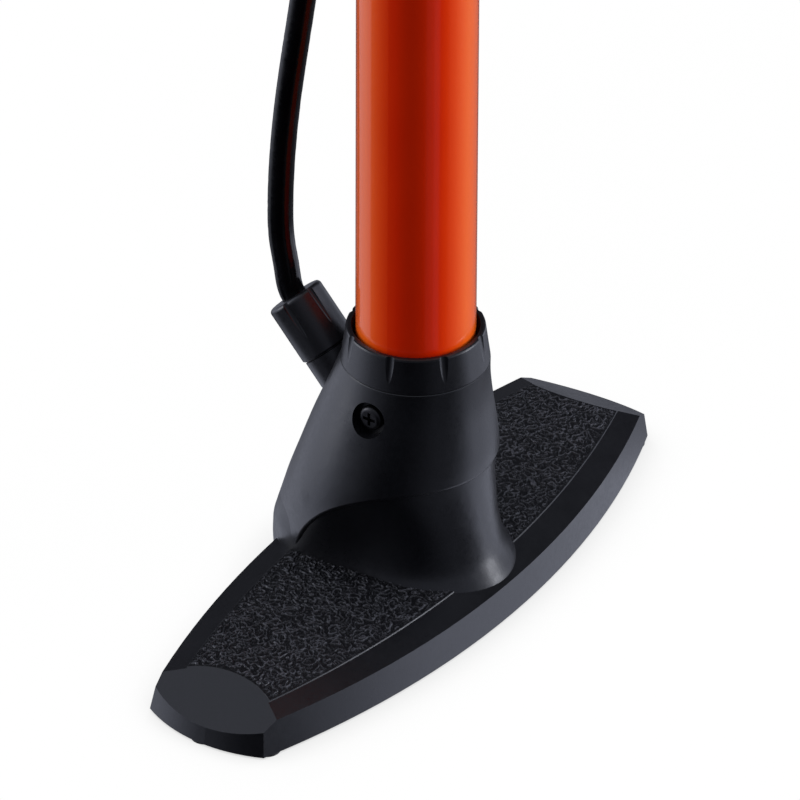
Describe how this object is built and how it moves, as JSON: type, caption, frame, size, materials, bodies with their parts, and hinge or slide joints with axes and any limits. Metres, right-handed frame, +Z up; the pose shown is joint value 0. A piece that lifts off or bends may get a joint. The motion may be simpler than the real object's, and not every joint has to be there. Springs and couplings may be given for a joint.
{
  "type": "floor bike pump",
  "caption": "Floor pump for bicycle tyres: crescent foot plate, flared hub, coated barrel, rear hose outlet, cross handle, top gauge and lever pump head.",
  "frame": {"origin": "on the floor under the barrel's axis", "axes": "+X along the foot plate, -Y the user's side, +Z up the barrel"},
  "size_m": [0.2524, 0.1478, 0.6572],
  "materials": {
    "moulding_black": "satin",
    "barrel_orange": "gloss",
    "soft_rubber": "matte",
    "hose_black": "gloss",
    "screw_black": "satin",
    "valve_plastic": "satin",
    "steel": "satin",
    "rod_chrome": "polished",
    "brass_parts": "satin",
    "ferrule_metal": "satin",
    "gauge_black": "satin",
    "dial_white": "matte",
    "needle_red": "satin",
    "window": "polished"
  },
  "bodies": {
    "base": {"foot_base": "moulding_black", "rubber_feet": "soft_rubber", "hub_pad": "soft_rubber", "barrel_lock_ring": "moulding_black", "base_screws": "screw_black", "valve_block": "valve_plastic", "block_o_ring": "soft_rubber", "check_spring": "steel", "check_plug": "valve_plastic", "outlet_elbow": "moulding_black", "hose_nut": "moulding_black", "lower_hose": "hose_black", "barrel_tube": "barrel_orange", "barrel_cap": "moulding_black", "rod_bush": "valve_plastic", "rod_wiper": "soft_rubber", "gauge_yoke": "moulding_black", "hose_barbs": "brass_parts", "hose_ferrules": "ferrule_metal", "gauge_case": "gauge_black", "gauge_stem": "brass_parts", "bourdon_tube": "brass_parts", "movement_frame": "steel", "gauge_dial": "dial_white", "gauge_lens": "window", "gauge_bezel": "gauge_black", "upper_hose": "hose_black"},
    "valve_disc": {"check_poppet": "soft_rubber"},
    "piston_seals": {"piston_cup": "soft_rubber", "piston_wear_ring": "valve_plastic"},
    "rod_and_handle": {"piston_body": "valve_plastic", "piston_bolt": "steel", "top_bumper": "soft_rubber", "piston_rod": "rod_chrome", "handle_core": "moulding_black", "grip_right": "soft_rubber", "grip_left": "soft_rubber", "handle_end_caps": "moulding_black", "handle_bolt": "steel"},
    "needle": {"needle_staff": "brass_parts", "gauge_needle": "needle_red"},
    "pump_head": {"head_body": "moulding_black", "head_mouth_cap": "moulding_black", "head_gasket": "soft_rubber", "head_ferrule": "ferrule_metal", "lever_pin": "steel"},
    "lever": {"head_lever": "moulding_black"},
    "plunger": {"head_plunger": "valve_plastic"}
  },
  "joints": [
    {"name": "valve_lift", "type": "slide", "parent": "base", "child": "valve_disc", "axis": [0, 0, -1], "range_m": [0, 0.0015], "stiffness_N_per_m": 20, "deforming": ["check_spring"]},
    {"name": "pump_stroke", "type": "slide", "parent": "base", "child": "piston_seals", "axis": [0, 0, 1], "range_m": [0, 0.44]},
    {"name": "handle_turn", "type": "hinge", "parent": "piston_seals", "child": "rod_and_handle", "pos_m": [0, 0, 0.64], "axis": [0, 0, 1], "continuous": true},
    {"name": "needle_turn", "type": "hinge", "parent": "base", "child": "needle", "pos_m": [0, -0.0486, 0.5289], "axis": [0, 0.766, -0.6428], "range_deg": [0, 270]},
    {"name": "head_park", "type": "slide", "parent": "base", "child": "pump_head", "axis": [0, -1, 0], "range_m": [0, 0.035], "deforming": ["upper_hose"]},
    {"name": "lever_flip", "type": "hinge", "parent": "pump_head", "child": "lever", "pos_m": [0.044, 0.014, 0.545], "axis": [-1, 0, 0], "range_deg": [0, 90]},
    {"name": "plunger_push", "type": "slide", "parent": "pump_head", "child": "plunger", "axis": [0, 1, 0], "range_m": [0, 0.003]}
  ],
  "couplings": [
    {"joint": "plunger_push", "follows": "lever_flip", "m_per_rad": 0.0019}
  ]
}
